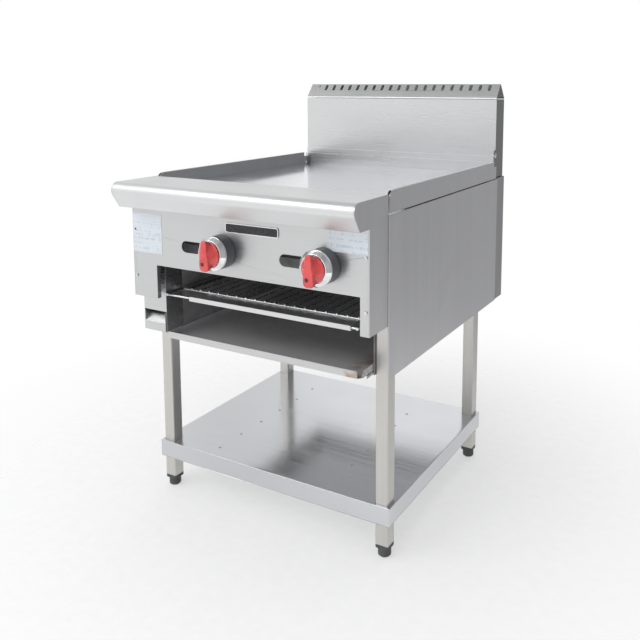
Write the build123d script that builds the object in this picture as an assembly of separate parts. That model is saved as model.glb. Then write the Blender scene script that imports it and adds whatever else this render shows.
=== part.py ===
from build123d import *
from math import acos, atan2, cos, degrees, hypot, pi, sin
import os

# Gas griddle with a toaster slot, on an open stand. Millimetres, +Z up, front towards -Y.
# The origin is on the floor, under the centre of the whole object's outer box.

# ---- driving dimensions -------------------------------------------------------------------------
BODY_HALF_W = 305.0  # half the body width over the side panels
DEPTH = 839.0  # from the nose of the front ledge to the back of the flue
SHEET = 1.2  # general sheet thickness
STOUT = 1.5  # thickness of ledge, cheeks and splash guards

NOSE_Y = -DEPTH / 2
BACK_Y = DEPTH / 2
PANEL_Y = NOSE_Y + 59  # front face of the control panel
SIDE_Y0 = PANEL_Y + 77  # front edge of the side panels
FLUE_Y = BACK_Y - 60  # front face of the flue riser

LEDGE_Z = 762.0  # working height, top of the front ledge
APRON_Z = 706.0  # underside of the ledge, top of the control panel
MOUTH_TOP_Z = 574.0  # top of the toaster mouth
COLUMN_Z = 498.0  # lower end of the control box
BODY_Z0 = 389.0  # lower edge of the side panels
BODY_Z1 = 721.5  # upper edge of the side panels
RISER_Z0 = 725.0
RISER_Z1 = 933.0
RISER_STEP_Z = (767.0, 782.0)  # tops of the two steps of the riser's foot
RISER_HALF_W = 298.0
CASING_HALF_W = 303.0
RIDGE_Z = 974.0  # ridge of the louvred cap, highest point

MOUTH_X0, MOUTH_X1 = -233.5, 282.0  # toaster mouth, left and right edges
CHEEK_X = 302.5  # outer face of the end cheeks

LEG = 30.0  # square tube legs
LEG_WALL = 1.5
LEG_OUT_X = BODY_HALF_W - SHEET  # outer faces of the legs, against the side panels
LEG_FRONT_Y = SIDE_Y0 + 3
LEG_Z1 = 600.0

SHELF_HALF_W = 310.0
SHELF_Y0 = SIDE_Y0 - 4
SHELF_DEPTH = 528.0
SHELF_Z = 117.0
SHELF_EDGE = 40.0
FOOT_Z = 27.0  # height of the levelling feet

PLATE_Z = 739.0  # cooking surface, lower than the ledge
PLATE_T = 20.0
PLATE_HALF_W = 296.5
PLATE_Y0 = SIDE_Y0 + 80
PLATE_Y1 = FLUE_Y - 8
GUARD_Z = 769.0
TROUGH_Z = 700.0
CHAMBER_Z1 = TROUGH_Z - 2  # upper edge of the sheets round the chamber

WALL_X0 = -232.0  # left inner wall, left face
WALL_X1 = 273.2  # right inner wall, right face
RACK_Z = 503.0  # centre height of the rack's rods
RACK_FRONT_Y = PANEL_Y + 24
TRAY_Z = 401.0

KNOB_X = (-47.0, 204.0)
KNOB_Z = 627.0
RING_R = 36.0
BURNER_X = (-107.0, 150.0)
BURNER_Z = 657.0
BURNER_R = 16.0
SLOT_W = 25.0
SLOT_L = 105.0
PIPE_R = 10.7  # half-inch gas pipe
PIPE_Y = PANEL_Y + 56
SUPPLY_X = 285.0
INLET_R = 10.3  # threaded bore of the rear inlet
INLET_L = 18.0
STEM_R = 4.0
STEM_CLEARANCE = 0.05


# ---- helpers ------------------------------------------------------------------------------------
def place(axis, station, u, v):
    """Point with coordinates u, v in the plane normal to axis, at the given station along it."""
    return {"x": (station, u, v), "y": (u, station, v), "z": (u, v, station)}[axis]


def block(x0, x1, y0, y1, z0, z1):
    """Rectangular block between two corners."""
    return Pos((x0 + x1) / 2, (y0 + y1) / 2, (z0 + z1) / 2) * Box(x1 - x0, y1 - y0, z1 - z0)


def prism(axis, outline, start, end):
    """Closed outline extruded along an axis from start to end."""
    face = make_face(Polyline(*[place(axis, start, u, v) for u, v in outline], close=True))
    return extrude(face, amount=end - start, dir=place(axis, 1, 0, 0))


def folded(axis, path, start, end, thickness=SHEET):
    """Sheet folded along an open path, its thickness laid to the left of the path."""
    normals = []
    for (u0, v0), (u1, v1) in zip(path, path[1:]):
        length = hypot(u1 - u0, v1 - v0)
        normals.append((-(v1 - v0) / length, (u1 - u0) / length))
    inner = []
    for i, (u, v) in enumerate(path):
        before = normals[max(i - 1, 0)]
        after = normals[min(i, len(normals) - 1)]
        scale = thickness / (1 + before[0] * after[0] + before[1] * after[1])
        inner.append((u + (before[0] + after[0]) * scale, v + (before[1] + after[1]) * scale))
    return prism(axis, path + inner[::-1], start, end)


def rod(axis, u, v, start, end, radius):
    """Round bar along an axis."""
    turn = {"x": (0, 90, 0), "y": (-90, 0, 0), "z": (0, 0, 0)}[axis]
    middle = place(axis, (start + end) / 2, u, v)
    return Pos(*middle) * Rot(*turn) * Cylinder(radius, end - start)


def tube(axis, u, v, start, end, radius, bore):
    """Round tube along an axis."""
    return rod(axis, u, v, start, end, radius) - rod(axis, u, v, start - 1, end + 1, bore)


def bent_rod(points, radius, bend):
    """Round bar swept along straight runs joined by arcs."""
    path = FilletPolyline(*points, radius=bend)
    section = Plane(origin=path @ 0, z_dir=path % 0) * Circle(radius)
    return sweep(section, path=path)


def obround(axis, u0, u1, v, width, start, end):
    """Slot cutter with round ends, its length along u."""
    radius = width / 2
    corners = [(u0 + radius, v - radius), (u1 - radius, v - radius)]
    corners += [(u1 - radius, v + radius), (u0 + radius, v + radius)]
    return (
        prism(axis, corners, start, end)
        + rod(axis, u0 + radius, v, start, end, radius)
        + rod(axis, u1 - radius, v, start, end, radius)
    )


def mirrored(shape):
    """The same piece on the other side of the object."""
    return mirror(shape, about=Plane.YZ)


def joined(shapes):
    """All shapes fused into one."""
    first, *rest = shapes
    return first.fuse(*rest) if rest else first


# ---- stand --------------------------------------------------------------------------------------
def leg_corners():
    """Name and low x, low y corner of each leg."""
    rear_y = SHELF_Y0 + SHELF_DEPTH - 5 - LEG
    for depth_name, y in (("front", LEG_FRONT_Y), ("rear", rear_y)):
        yield f"{depth_name}_left", -LEG_OUT_X, y
        yield f"{depth_name}_right", LEG_OUT_X - LEG, y


def leg(x, y):
    """Square tube with rounded corners, open at both ends."""
    near, far = LEG_WALL, LEG - LEG_WALL
    outer = block(x, x + LEG, y, y + LEG, FOOT_Z, LEG_Z1)
    inner = block(x + near, x + far, y + near, y + far, FOOT_Z - 1, LEG_Z1 + 1)
    corners = [fillet(box.edges().filter_by(Axis.Z), r) for box, r in ((outer, 3.0), (inner, 1.5))]
    return corners[0] - corners[1]


def foot(x, y):
    """Levelling foot: round plug, collar under the tube and a square insert in the tube."""
    cx, cy = x + LEG / 2, y + LEG / 2
    plug = rod("z", cx, cy, 0, FOOT_Z - 7, 14.0)
    plug = chamfer(plug.edges().group_by(Axis.Z)[0], 3.0)
    collar = Pos(cx, cy, FOOT_Z - 3.5) * Box(LEG + 1, LEG + 1, 7)
    collar = fillet(collar.edges().filter_by(Axis.Z), 5.0)
    side = LEG - 2 * LEG_WALL - 0.4
    insert = Pos(cx, cy, FOOT_Z + 10) * Box(side, side, 20)
    insert = fillet(insert.edges().filter_by(Axis.Z), 1.5)
    return joined([plug, collar, insert])


def undershelf():
    """Flat shelf with its edges turned down, notched around the legs."""
    x, y0, y1 = SHELF_HALF_W, SHELF_Y0, SHELF_Y0 + SHELF_DEPTH
    low = SHELF_Z - SHELF_EDGE
    shelf = block(-x, x, y0, y1, low, SHELF_Z)
    shelf -= block(-x + SHEET, x - SHEET, y0 + SHEET, y1 - SHEET, low - 1, SHELF_Z - SHEET)
    gap = 0.3
    for _, lx, ly in leg_corners():
        shelf -= block(lx - gap, lx + LEG + gap, ly - gap, ly + LEG + gap, 0, SHELF_Z + 1)
    return shelf


def shelf_stiffeners():
    """Two channels welded under the shelf, front to back."""
    half, height, centres = 20.0, 22.0, (-155.0, 153.0)
    top = SHELF_Z - SHEET
    channels = []
    for x in centres:
        path = [(x - half, top - height), (x - half, top), (x + half, top), (x + half, top - height)]
        channels.append(folded("y", path[::-1], SHELF_Y0 + 15, SHELF_Y0 + SHELF_DEPTH - 15))
    return Compound(children=channels)


# ---- body ---------------------------------------------------------------------------------------
def side_panel():
    """Right side panel: flat sheet with rounded, folded edges at its front and its top."""
    x, t, bend_r = BODY_HALF_W, SHEET, 2.5
    y1 = FLUE_Y - 1
    sheet = block(x - t, x, SIDE_Y0, y1, BODY_Z0, BODY_Z1)
    front = block(x - 5, x, SIDE_Y0, SIDE_Y0 + t, BODY_Z0, BODY_Z1)
    top = block(x - 7.5, x, SIDE_Y0, y1, BODY_Z1 - t, BODY_Z1)
    panel = joined([sheet, front, top])
    outer = panel.edges().filter_by_position(Axis.X, x - 0.1, x + 0.1)
    bends = outer.filter_by(Axis.Z).group_by(Axis.Y)[0] + outer.filter_by(Axis.Y).group_by(Axis.Z)[-1]
    return fillet(bends, bend_r)


def inner_wall(x_face, towards):
    """Wall of the toaster chamber, standing between the front and the back of the body."""
    x0, x1 = sorted((x_face, x_face + towards * SHEET))
    return block(x0, x1, SIDE_Y0 - 2, PLATE_Y1, BODY_Z0 + 3, CHAMBER_Z1)


def inner_back_panel():
    """Back of the chamber, low enough to let the burnt gas over into the flue."""
    z0, z1 = BODY_Z0 + 3, 617.0
    return block(WALL_X0 + SHEET, WALL_X1 - SHEET, PLATE_Y1, PLATE_Y1 + SHEET, z0, z1)


def rear_flue_casing():
    """Channel round the back of the body that leads the burnt gas up to the riser."""
    x, inlet_hole_r = CASING_HALF_W, 16.5
    path = [(-x, FLUE_Y), (-x, BACK_Y), (x, BACK_Y), (x, FLUE_Y)]
    casing = folded("z", path[::-1], BODY_Z0, RISER_Z0 - 1)
    return casing - rod("y", SUPPLY_X, KNOB_Z, BACK_Y - 5, BACK_Y + 5, inlet_hole_r)


RISER_FOOT_Y = FLUE_Y - 6
EAR_X1 = CASING_HALF_W - STOUT - 0.3  # outer face of the ears, against the splash guards
EAR_BOLT_Y, EAR_BOLT_Z = FLUE_Y - 15, 786.0


def riser_outline(inset):
    """Outline of the riser seen from the side: a foot in two steps, then a plain front."""
    foot_y, step_y = RISER_FOOT_Y + inset, FLUE_Y - 3 + inset
    first, second = RISER_STEP_Z[0] - inset, RISER_STEP_Z[1] - inset
    front, back = FLUE_Y + inset, BACK_Y - inset
    return [
        (foot_y, RISER_Z0), (foot_y, first), (step_y, first), (step_y, second),
        (front, second), (front, RISER_Z1), (back, RISER_Z1), (back, RISER_Z0),
    ]


def riser_ear(top):
    """Right ear: a web beside the splash guard and a flange on the foot of the riser."""
    z0, flange_w = PLATE_Z + 1, 24.0
    web = block(EAR_X1 - SHEET, EAR_X1, FLUE_Y - 23, RISER_FOOT_Y + 0.5, z0, top)
    web = fillet(web.edges().filter_by(Axis.X).group_by(Axis.Y)[0].group_by(Axis.Z)[-1], 6.0)
    flange_y0 = RISER_FOOT_Y - SHEET
    return web + block(EAR_X1 - flange_w, EAR_X1, flange_y0, RISER_FOOT_Y + 0.5, z0, RISER_STEP_Z[0])


def flue_riser():
    """Open box behind the plate, with an ear each side; the tall right ear takes a bolt."""
    x = RISER_HALF_W
    shell = prism("x", riser_outline(0), -x, x) - prism("x", riser_outline(SHEET), -x + SHEET, x - SHEET)
    shell -= block(-x + SHEET, x - SHEET, FLUE_Y + SHEET, BACK_Y - SHEET, RISER_Z1 - 2, RISER_Z1 + 1)
    shell -= block(-x + SHEET, x - SHEET, FLUE_Y - 4, BACK_Y - SHEET, RISER_Z0 - 1, RISER_Z0 + 2)
    right_ear = riser_ear(800.0) - rod("x", EAR_BOLT_Y, EAR_BOLT_Z, EAR_X1 - 5, EAR_X1 + 5, 2.2)
    return joined([shell, right_ear, mirrored(riser_ear(757.0))])


def flue_cap():
    """Folded ridge over the riser with a row of slots below the ridge, open at both ends."""
    x = RISER_HALF_W
    middle = (FLUE_Y + BACK_Y) / 2
    foot = RISER_Z1 + 1.5
    path = [(BACK_Y, foot), (BACK_Y, foot + 3), (middle, RIDGE_Z), (FLUE_Y, foot + 3), (FLUE_Y, foot)]
    cap = folded("x", path, -x, x)
    slope = atan2(RIDGE_Z - foot - 3, middle - FLUE_Y)
    count, pitch, width, length = 21, 27.0, 8.5, 21.0
    radius = width / 2
    for i in range(count):
        cx = (i - (count - 1) / 2) * pitch
        slot = Box(width, length - width, 12) + Pos(0, length / 2 - radius, 0) * Cylinder(radius, 12)
        slot += Pos(0, radius - length / 2, 0) * Cylinder(radius, 12)
        drop = 13.0
        centre = (cx, middle - drop * cos(slope), RIDGE_Z - drop * sin(slope))
        cap -= Pos(*centre) * Rot(degrees(slope), 0, 0) * slot
    return cap


# ---- cooking top --------------------------------------------------------------------------------
def griddle_plate():
    plate = block(-PLATE_HALF_W, PLATE_HALF_W, PLATE_Y0, PLATE_Y1, PLATE_Z - PLATE_T, PLATE_Z)
    return fillet(plate.edges().group_by(Axis.Z)[-1], 1.5)


def splash_guard():
    """Right guard: folded over a thin top, inner leaf on the plate, outer leaf down to the body.

    Behind the fold the outer leaf runs on, lower, to the flue riser.
    """
    outer, inner = CASING_HALF_W, PLATE_HALF_W - 1
    y0, y1, low = SIDE_Y0 + 2, FLUE_Y - 24, BODY_Z1 + 2.5
    tail_drop, corner_r = 13.0, 20.0
    path = [(inner, PLATE_Z), (inner, GUARD_Z), (outer, GUARD_Z), (outer, low)]
    guard = folded("y", path[::-1], y0, y1, STOUT)
    guard += block(inner, outer, y0, y0 + STOUT, PLATE_Z, GUARD_Z)
    trim = block(inner - 5, outer + 5, y0, y1, low - 5, GUARD_Z)
    trim = fillet(trim.edges().filter_by(Axis.X).group_by(Axis.Y)[0].group_by(Axis.Z)[-1], corner_r)
    tail = block(outer - STOUT, outer, y1 - 1, RISER_FOOT_Y - 0.5, low, GUARD_Z - tail_drop)
    return (guard & trim) + tail


def grease_trough():
    """Trough between the ledge and the plate, with closed ends and a drain at the left."""
    y0, y1, x = SIDE_Y0 + 0.5, PLATE_Y0 - 1.5, 294.0
    front_z, rear_z = LEDGE_Z - 4, PLATE_Z - PLATE_T - 1
    path = [(y0, front_z), (y0, TROUGH_Z), (y1, TROUGH_Z), (y1, rear_z)]
    trough = folded("x", path, -x, x)
    for end in (-x, x - SHEET):
        trough += block(end, end + SHEET, y0, y1, TROUGH_Z, rear_z)
    return trough - block(-267, -239, SIDE_Y0 + 11, SIDE_Y0 + 35, TROUGH_Z - 1, TROUGH_Z + 3)


def grease_chute():
    """Square duct from the trough's drain down into the grease drawer."""
    x0, x1, y0, y1 = -270.0, -236.0, SIDE_Y0 + 8, SIDE_Y0 + 38
    z0, z1 = 467.0, TROUGH_Z - 0.5
    inner = block(x0 + SHEET, x1 - SHEET, y0 + SHEET, y1 - SHEET, z0 - 1, z1 + 1)
    return block(x0, x1, y0, y1, z0, z1) - inner


def plate_rails():
    """Angle rails standing on the legs, one each side, that carry the plate."""
    top, web_x, t = PLATE_Z - PLATE_T, 297.0, 3.0
    web = block(web_x, web_x + t, LEG_FRONT_Y, PLATE_Y1, LEG_Z1, top)
    ledge = block(WALL_X1 + 1, web_x + t, PLATE_Y0 + 2, PLATE_Y1, top - t, top)
    rail = web + ledge
    return Compound(children=[rail, mirrored(rail)])


# ---- front --------------------------------------------------------------------------------------
NOSE_R = 18.0
NOSE_LIP_Y = NOSE_Y + 22.0  # lower front corner of the ledge
LEDGE_FLANGE = 10.0


def nose_geometry(inset):
    """Key points of the ledge's front, moved inwards by inset.

    The round nose leaves the flat top, and the slanted front leaves the nose at a tangent.
    """
    cy, cz, radius = NOSE_Y + NOSE_R, LEDGE_Z - NOSE_R, NOSE_R - inset
    dy, dz = NOSE_LIP_Y - cy, APRON_Z - cz
    leave = atan2(dz, dy) - acos(NOSE_R / hypot(dy, dz))
    middle = (pi / 2 + leave + 2 * pi) / 2
    lip_z = APRON_Z + inset
    end = (cy + radius * cos(leave), cz + radius * sin(leave))
    run = (end[1] - lip_z) / cos(leave)
    lip = (end[0] + run * sin(leave), lip_z)
    return {
        "top": (cy, LEDGE_Z - inset),
        "middle": (cy + radius * cos(middle), cz + radius * sin(middle)),
        "end": end,
        "lip": lip,
    }


def nose_edges(x, before, inset, after):
    """Edges before - top - round nose - slanted front - lip - after, in the plane at x."""
    key = {name: place("x", x, *point) for name, point in nose_geometry(inset).items()}
    start = [place("x", x, *point) for point in before]
    finish = [place("x", x, *point) for point in after]
    return [
        Polyline(*start, key["top"]),
        ThreePointArc(key["top"], key["middle"], key["end"]),
        Polyline(key["end"], key["lip"], *finish),
    ]


def bullnose_ledge():
    """Landing ledge: rounded nose, slanted apron and a flange down into the trough's front."""
    x, t, low = CHEEK_X - STOUT, STOUT, LEDGE_Z - LEDGE_FLANGE
    outer = nose_edges(-x, [(SIDE_Y0, low), (SIDE_Y0, LEDGE_Z)], 0, [(PANEL_Y, APRON_Z)])
    inner = nose_edges(-x, [(SIDE_Y0 - t, low), (SIDE_Y0 - t, LEDGE_Z - t)], t, [(PANEL_Y, APRON_Z + t)])
    ends = [
        Line((-x, SIDE_Y0, low), (-x, SIDE_Y0 - t, low)),
        Line((-x, PANEL_Y, APRON_Z), (-x, PANEL_Y, APRON_Z + t)),
    ]
    return extrude(make_face(outer + inner + ends), amount=2 * x, dir=(1, 0, 0))


def end_cheek():
    """Right end plate of the ledge and the control box."""
    x, rear = CHEEK_X - STOUT, SIDE_Y0 - 0.8
    column = [(PANEL_Y, APRON_Z), (PANEL_Y, COLUMN_Z), (rear, COLUMN_Z), (rear, LEDGE_Z)]
    return extrude(make_face(nose_edges(x, [(rear, LEDGE_Z)], 0, column)), amount=STOUT, dir=(1, 0, 0))


SCREW_X = 294.5
SCREW_LOW_Z, SCREW_HIGH_Z = 545.0, 651.0


def control_panel():
    """Inverted U of sheet round the toaster mouth, its mouth edges folded back."""
    x, t, back = CHEEK_X - STOUT, SHEET, PANEL_Y + SHEET
    top = APRON_Z - 0.3
    panel = block(-x, x, PANEL_Y, back, COLUMN_Z, top)
    panel -= block(MOUTH_X0, MOUTH_X1, PANEL_Y - 1, back + 1, COLUMN_Z - 1, MOUTH_TOP_Z)
    fold = 11.0
    returns = [
        block(MOUTH_X0 - t, MOUTH_X0, PANEL_Y, PANEL_Y + fold, COLUMN_Z, MOUTH_TOP_Z + t),
        block(MOUTH_X1, MOUTH_X1 + t, PANEL_Y, PANEL_Y + fold, COLUMN_Z, MOUTH_TOP_Z + t),
        block(MOUTH_X0 - t, MOUTH_X1 + t, PANEL_Y, PANEL_Y + fold, MOUTH_TOP_Z, MOUTH_TOP_Z + t),
        block(-x, -x + t, PANEL_Y, PANEL_Y + fold, COLUMN_Z, top),
        block(x - t, x, PANEL_Y, PANEL_Y + fold, COLUMN_Z, top),
    ]
    panel = joined([panel, *returns])
    for burner_x, knob_x in zip(BURNER_X, KNOB_X):
        start = burner_x - SLOT_L / 2
        panel -= obround("y", start, start + SLOT_L, KNOB_Z - 2, SLOT_W, PANEL_Y - 1, back + 1)
        panel -= rod("y", knob_x, KNOB_Z, PANEL_Y - 1, back + 1, 6.0)
    for hole_x in (-SCREW_X, SCREW_X):
        for hole_z in (SCREW_LOW_Z, SCREW_HIGH_Z):
            panel -= rod("y", hole_x, hole_z, PANEL_Y - 1, back + 1, 2.15)
    return panel


def screw(axis, u, v, face, outwards, head_r):
    """Domed screw, its head on a face and its shank through the sheet behind."""
    head = rod(axis, u, v, *sorted((face, face + outwards * 2.4)), head_r)
    along = {"x": Axis.X, "y": Axis.Y}[axis]
    rims = head.edges().filter_by(GeomType.CIRCLE).sort_by(along)
    head = fillet(rims[-1] if outwards > 0 else rims[0], 1.6)
    return head + rod(axis, u, v, *sorted((face, face - outwards * 6)), 2.0)


def casing_screws():
    """Three screws of the control panel and the bolt of the riser's right ear."""
    places = [(SCREW_X, SCREW_LOW_Z), (SCREW_X, SCREW_HIGH_Z), (-SCREW_X, SCREW_LOW_Z)]
    screws = [screw("y", x, z, PANEL_Y, -1, 4.0) for x, z in places]
    return Compound(children=[*screws, screw("x", EAR_BOLT_Y, EAR_BOLT_Z, EAR_X1, 1, 6.5)])


def nameplate():
    """Blank plate with a raised rim and round corners."""
    x0, x1, z0, z1, rim = -37.0, 97.0, 668.0, 689.0, 2.0
    plate = block(x0, x1, PANEL_Y - 2.0, PANEL_Y, z0, z1)
    plate = fillet(plate.edges().filter_by(Axis.Y), 5.0)
    recess = block(x0 + rim, x1 - rim, PANEL_Y - 3.0, PANEL_Y - 1.2, z0 + rim, z1 - rim)
    return plate - fillet(recess.edges().filter_by(Axis.Y), 3.2)


def rating_labels():
    """Two blank adhesive labels at the ends of the control panel."""
    face = PANEL_Y - 0.4
    left = block(-301, -216, face, PANEL_Y, 600, 689)
    left -= rod("y", -SCREW_X, SCREW_HIGH_Z, face - 1, PANEL_Y + 1, 2.6)
    return Compound(children=[left, block(208, 299, face, PANEL_Y, 656, 697)])


# ---- knobs --------------------------------------------------------------------------------------
RING_BACK_Y = PANEL_Y - 30
RING_FRONT_Y = PANEL_Y - 42
GRIP_FRONT_Y = PANEL_Y - 61
DISC_R = 26.5
GRIP_HALF_L = 33.5
BASE_R = 35.5
BORE_R = STEM_R + STEM_CLEARANCE


def knob_base(x):
    """Dark barrel between the panel and the ring."""
    return tube("y", x, KNOB_Z, RING_BACK_Y, PANEL_Y - 1.2, BASE_R, BORE_R)


def knob_ring(x):
    """Bright ring with a sloped face round the grip and a thin groove behind it."""
    slope, groove_y = 7.0, RING_BACK_Y - 2.5
    ring = rod("y", x, KNOB_Z, RING_FRONT_Y, RING_BACK_Y, RING_R)
    ring = chamfer(ring.edges().filter_by(GeomType.CIRCLE).sort_by(Axis.Y)[0], slope)
    groove = tube("y", x, KNOB_Z, groove_y - 0.5, groove_y + 0.5, RING_R + 2, RING_R - 1)
    return ring - groove - rod("y", x, KNOB_Z, RING_FRONT_Y - 1, RING_BACK_Y + 1, BORE_R)


def knob_grip(x):
    """Round base with a tapered grip bar across it, longer than the base is wide."""
    disc_y = RING_FRONT_Y - 3
    disc = rod("y", x, KNOB_Z, disc_y, RING_FRONT_Y - 0.3, DISC_R)
    narrow, wide, root_y = 12.0, 20.0, disc_y + 2
    section = [(x - wide, root_y), (x + wide, root_y), (x + narrow, GRIP_FRONT_Y)]
    bar = prism("z", [*section, (x - narrow, GRIP_FRONT_Y)], KNOB_Z - GRIP_HALF_L, KNOB_Z + GRIP_HALF_L)
    bar &= rod("y", x, KNOB_Z, GRIP_FRONT_Y - 1, disc_y + 3, GRIP_HALF_L)
    bar = fillet(bar.edges().group_by(Axis.Y)[0], 2.0)
    return disc + bar - rod("y", x, KNOB_Z, RING_FRONT_Y - 12.2, RING_FRONT_Y, BORE_R)


def valve_stem(x):
    return rod("y", x, KNOB_Z, RING_FRONT_Y - 12, PIPE_Y - 19, STEM_R)


# ---- gas side -----------------------------------------------------------------------------------
def gas_valve(x):
    """Valve block on the front of the manifold, its hub round the stem."""
    half, front, back = 13.0, PIPE_Y - 40, PIPE_Y - PIPE_R - 0.3
    body = block(x - half, x + half, front, back, KNOB_Z - half, KNOB_Z + half)
    body = fillet(body.edges().filter_by(Axis.Y), 3.0)
    hub = rod("y", x, KNOB_Z, front - 13, front, 9.0)
    nipple = rod("y", x, KNOB_Z, back, PIPE_Y - 5, 5.0)
    return joined([body, hub, nipple]) - rod("y", x, KNOB_Z, front - 14, PIPE_Y - 18.8, BORE_R)


def gas_manifold():
    """Pipe along the front with an elbow at the right and a plugged left end."""
    pipe = tube("x", PIPE_Y, KNOB_Z, -215, SUPPLY_X - 5, PIPE_R, PIPE_R - 2.5)
    plug = rod("x", PIPE_Y, KNOB_Z, -222, -215, PIPE_R + 2)
    elbow = Pos(SUPPLY_X, PIPE_Y, KNOB_Z) * Sphere(14.5)
    sleeve = rod("x", PIPE_Y, KNOB_Z, SUPPLY_X - 24, SUPPLY_X, 14.0)
    socket = rod("y", SUPPLY_X, KNOB_Z, PIPE_Y, PIPE_Y + 16, 11.0)
    return joined([pipe, plug, elbow, sleeve, socket])


def gas_supply_pipe():
    return tube("y", SUPPLY_X, KNOB_Z, PIPE_Y + 16, BACK_Y - 24, PIPE_R, PIPE_R - 2.5)


def gas_inlet_coupling():
    """Threaded coupling flush with the back."""
    coupling = rod("y", SUPPLY_X, KNOB_Z, BACK_Y - 24, BACK_Y, 16.0)
    coupling -= rod("y", SUPPLY_X, KNOB_Z, BACK_Y - INLET_L, BACK_Y + 1, INLET_R)
    return coupling - rod("y", SUPPLY_X, KNOB_Z, BACK_Y - 25, BACK_Y, PIPE_R - 2.5)


def burner_feed_tubes():
    """Bent tube from each valve to the orifice in front of its burner."""
    tubes = []
    for knob_x, burner_x in zip(KNOB_X, BURNER_X):
        y, end = PIPE_Y - 25, SIDE_Y0
        points = [(knob_x, y, KNOB_Z + 13), (knob_x, y, BURNER_Z), (burner_x, y, BURNER_Z)]
        bent = bent_rod([*points, (burner_x, end, BURNER_Z)], 4.0, 10.0)
        tubes.append(bent + rod("y", burner_x, BURNER_Z, end - 12, end, 8.0))
    return Compound(children=tubes)


def pilot_tubes():
    """Small tube from the manifold to the side of each burner."""
    tubes = []
    for burner_x in BURNER_X:
        x, z0, z1 = burner_x + 34, KNOB_Z + PIPE_R + 0.3, BURNER_Z - 8
        tubes.append(bent_rod([(x, PIPE_Y, z0), (x, PIPE_Y, z1), (x, SIDE_Y0 + 34, z1)], 2.5, 6.0))
    return Compound(children=tubes)


# ---- heat side ----------------------------------------------------------------------------------
SHIELD_Y = SIDE_Y0 + 8
REST_Y = PLATE_Y1 - 38


def burner(x):
    """Tube burner with flame slits along its top and an open mixing mouth at the front."""
    y0, y1 = SHIELD_Y + 7, REST_Y + 14
    body = rod("y", x, BURNER_Z, y0, y1, BURNER_R) + rod("y", x, BURNER_Z, SIDE_Y0 + 4, y0, BURNER_R - 1)
    body -= rod("y", x, BURNER_Z, SIDE_Y0 + 3, y1 - 3, BURNER_R - 2)
    count, pitch = 22, 24.0
    for i in range(count):
        y = y0 + 30 + i * pitch
        body -= block(x - 8, x + 8, y, y + 2, BURNER_Z + BURNER_R - 5, BURNER_Z + BURNER_R + 1)
    return body


def burner_rest():
    """Angle across the back that the burners lie on."""
    top = BURNER_Z - BURNER_R - 0.3
    path = [(REST_Y, top - 24), (REST_Y, top), (REST_Y + 22, top)]
    return folded("x", path[::-1], WALL_X0 + SHEET, WALL_X1 - SHEET)


def front_heat_shield():
    """Wall between the control box and the burners."""
    low = 565.0
    shield = block(WALL_X0 + SHEET, WALL_X1 - SHEET, SHIELD_Y, SHIELD_Y + SHEET, low, CHAMBER_Z1)
    for x in BURNER_X:
        shield -= rod("y", x, BURNER_Z, SHIELD_Y - 1, SHIELD_Y + 3, BURNER_R + 3)
        shield -= rod("y", x + 34, BURNER_Z - 8, SHIELD_Y - 1, SHIELD_Y + 3, 4.5)
    return shield


def radiant_baffles():
    """Ridged plate under each burner that glows over the toaster chamber."""
    baffles = []
    half, eaves, ridge = 45.0, 602.0, 623.0
    for x in BURNER_X:
        path = [(x + half, eaves), (x, ridge), (x - half, eaves)]
        baffles.append(folded("y", path, SHIELD_Y + SHEET, REST_Y))
    return Compound(children=baffles)


# ---- toaster rack -------------------------------------------------------------------------------
RACK_X0, RACK_X1 = -226.0, 264.0
RACK_ROD_R = 3.0
RACK_CROSS_R = 2.7
RACK_WIRE_R = 1.5
RACK_STEP_Y = RACK_FRONT_Y + 55  # second rod, where the wires begin
RACK_Y1 = PLATE_Y1 - 15


def rack_frame():
    """Welded rod frame: two side rods and five cross rods."""
    y0, y1 = RACK_FRONT_Y - RACK_ROD_R, RACK_Y1 + RACK_ROD_R
    bars = [rod("y", x, RACK_Z, y0, y1, RACK_ROD_R) for x in (RACK_X0, RACK_X1)]
    for y in (RACK_FRONT_Y, RACK_STEP_Y, -120.0, 110.0, RACK_Y1):
        bars.append(rod("x", y, RACK_Z, RACK_X0, RACK_X1, RACK_CROSS_R))
    return joined(bars)


def rack_wires():
    """Wires that carry the toast, welded on top of the cross rods."""
    gaps = 19
    pitch = (RACK_X1 - RACK_X0) / gaps
    z = RACK_Z + RACK_CROSS_R + RACK_WIRE_R - 0.3
    wires = []
    for i in range(1, gaps):
        wires.append(rod("y", RACK_X0 + i * pitch, z, RACK_STEP_Y - 5, RACK_Y1 + 2, RACK_WIRE_R))
    return Compound(children=wires)


def rack_grip_plate():
    """Folded plate at the front of the rack, hooked round the front rod, with slanted ends."""
    front, rear = RACK_FRONT_Y - 4.6, RACK_STEP_Y - 3.2
    high, low, bend = RACK_Z + 4.6, RACK_Z - 5.5, RACK_FRONT_Y + 6
    x0, x1, slant = -160.0, 250.0, 14.0
    path = [(rear, RACK_Z - 1.5), (bend, high), (front, high), (front, low), (bend, low)]
    plate = folded("x", path, x0, x1)
    for x, way in ((x0, 1), (x1, -1)):
        corner = [(x - way, rear + 1), (x + way * slant, rear + 1), (x - way, bend)]
        plate -= prism("z", corner, low - 2, high + 2)
    return plate


def rack_runners():
    """Channels on the inner walls that hold the rack's side rods."""
    low, high, reach = RACK_Z - RACK_ROD_R - 0.3, RACK_Z + RACK_ROD_R + 0.6, 15.0
    y0, y1 = SIDE_Y0 + 2, PLATE_Y1 - 9
    runners = []
    for wall, way in ((WALL_X0 + SHEET, 1), (WALL_X1 - SHEET, -1)):
        path = [(wall + way * reach, low - SHEET), (wall, low - SHEET)]
        path += [(wall, high + SHEET), (wall + way * reach, high + SHEET)]
        runners.append(folded("y", path[::-way], y0, y1))
    return Compound(children=runners)


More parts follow.
